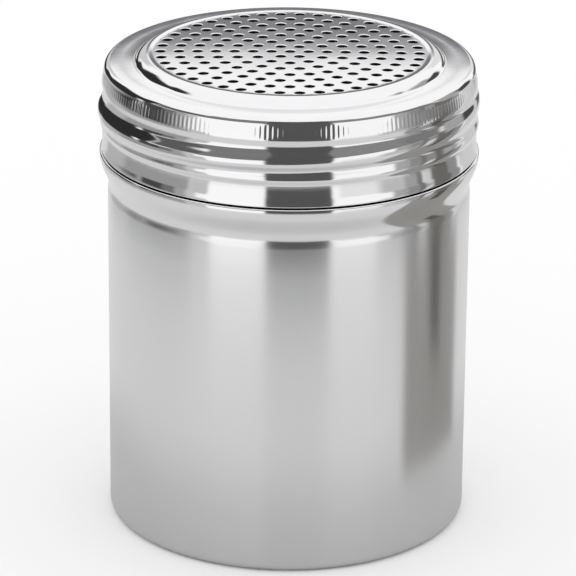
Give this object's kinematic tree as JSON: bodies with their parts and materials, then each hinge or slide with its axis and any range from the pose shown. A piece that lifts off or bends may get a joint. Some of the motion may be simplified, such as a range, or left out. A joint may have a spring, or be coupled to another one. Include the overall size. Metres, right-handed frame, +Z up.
{
  "type": "screw-top spice dredge",
  "caption": "Stainless steel spice dredge: a deep-drawn cup with a perforated lid that screws onto its neck and lifts off for filling.",
  "frame": {"origin": "middle of the cup's flat bottom, on the surface it stands on", "axes": "+Z up along the axis of the cup and the lid, -Y towards the viewer of the picture"},
  "size_m": [0.0736, 0.0739, 0.0935],
  "materials": {
    "satin_steel": "satin polished stainless steel, faintly brushed round the body",
    "polished_steel": "mirror polished stainless steel with fine wear"
  },
  "bodies": {
    "cup": {"cup": "satin_steel"},
    "lid": {"screw_lid": "polished_steel"}
  },
  "joints": [
    {"name": "lid_lift", "type": "slide", "parent": "cup", "child": "lid", "axis": [0, 0, 1], "range_m": [0, 0.04]}
  ]
}
